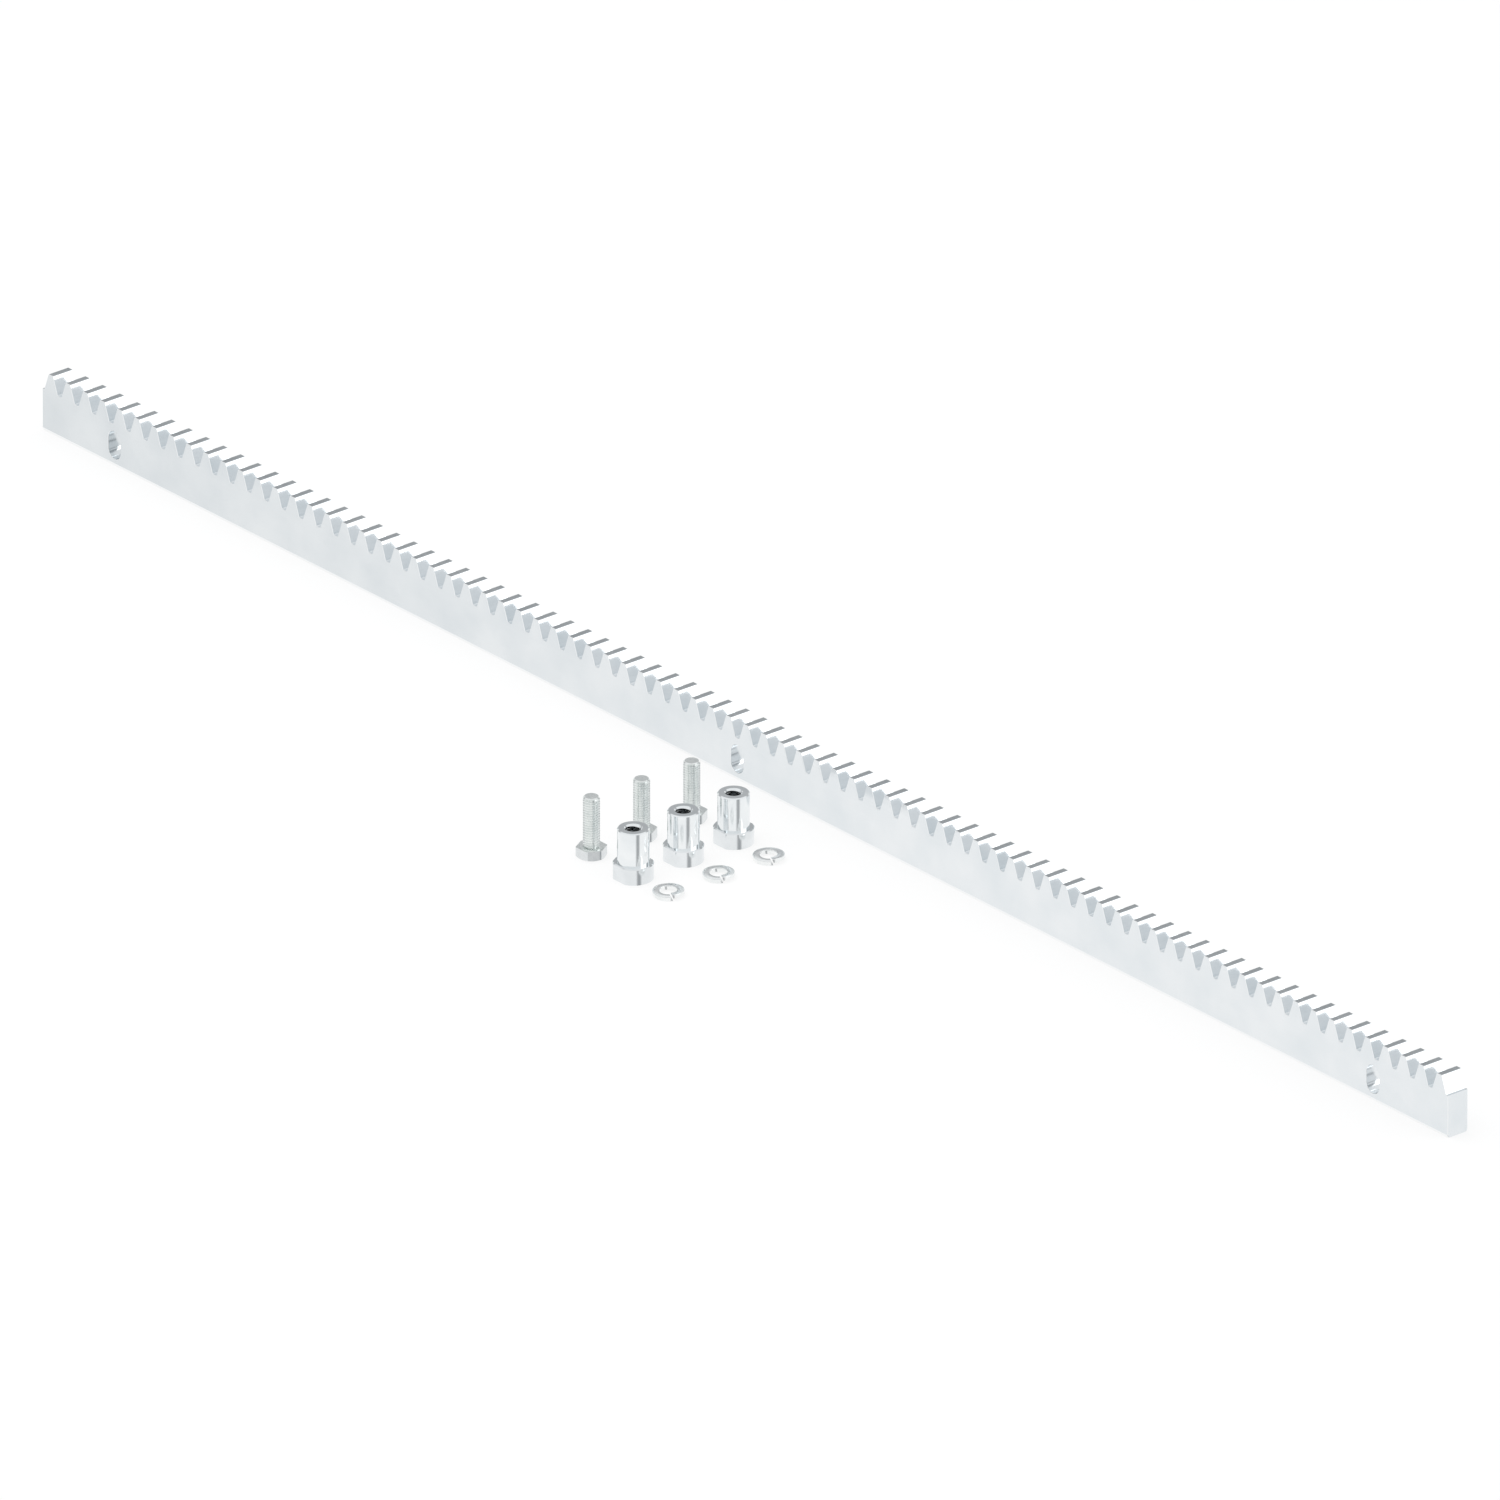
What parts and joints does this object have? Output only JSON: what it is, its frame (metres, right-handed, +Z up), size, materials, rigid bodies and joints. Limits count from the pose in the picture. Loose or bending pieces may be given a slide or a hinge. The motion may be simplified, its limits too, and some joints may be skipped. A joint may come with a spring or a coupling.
{
  "type": "gear rack",
  "caption": "Straight steel gear rack bar with upright bolt slots, laid out with loose hex bolts, hex-footed threaded standoffs and split spring washers, for driving a sliding gate.",
  "frame": {"origin": "middle of the rack's underside", "axes": "+X along the rack, +Y from its front to its back, +Z up towards the teeth"},
  "size_m": [1.005, 0.1245, 0.0303],
  "materials": {
    "rack_zinc_plate": "bright zinc-plated drawn bar",
    "bolt_zinc_plate": "bright zinc-plated, cold formed and rolled thread",
    "standoff_zinc_plate": "bright zinc-plated, turned",
    "washer_zinc_plate": "bright zinc-plated spring steel"
  },
  "bodies": {
    "rack": {"gear_rack": "rack_zinc_plate"},
    "bolt_1": {"hex_bolt_1": "bolt_zinc_plate"},
    "bolt_2": {"hex_bolt_2": "bolt_zinc_plate"},
    "bolt_3": {"hex_bolt_3": "bolt_zinc_plate"},
    "standoff_1": {"standoff_1": "standoff_zinc_plate"},
    "standoff_2": {"standoff_2": "standoff_zinc_plate"},
    "standoff_3": {"standoff_3": "standoff_zinc_plate"},
    "washer_1": {"spring_washer_1": "washer_zinc_plate"},
    "washer_2": {"spring_washer_2": "washer_zinc_plate"},
    "washer_3": {"spring_washer_3": "washer_zinc_plate"}
  },
  "joints": [
    {"name": "lift_bolt_1", "type": "slide", "parent": "rack", "child": "bolt_1", "axis": [0, 0, 1], "range_m": [0, 0.045]},
    {"name": "lift_bolt_2", "type": "slide", "parent": "rack", "child": "bolt_2", "axis": [0, 0, 1], "range_m": [0, 0.045]},
    {"name": "lift_bolt_3", "type": "slide", "parent": "rack", "child": "bolt_3", "axis": [0, 0, 1], "range_m": [0, 0.045]},
    {"name": "lift_standoff_1", "type": "slide", "parent": "rack", "child": "standoff_1", "axis": [0, 0, 1], "range_m": [0, 0.045]},
    {"name": "lift_standoff_2", "type": "slide", "parent": "rack", "child": "standoff_2", "axis": [0, 0, 1], "range_m": [0, 0.045]},
    {"name": "lift_standoff_3", "type": "slide", "parent": "rack", "child": "standoff_3", "axis": [0, 0, 1], "range_m": [0, 0.045]},
    {"name": "lift_washer_1", "type": "slide", "parent": "rack", "child": "washer_1", "axis": [0, 0, 1], "range_m": [0, 0.045]},
    {"name": "lift_washer_2", "type": "slide", "parent": "rack", "child": "washer_2", "axis": [0, 0, 1], "range_m": [0, 0.045]},
    {"name": "lift_washer_3", "type": "slide", "parent": "rack", "child": "washer_3", "axis": [0, 0, 1], "range_m": [0, 0.045]}
  ]
}
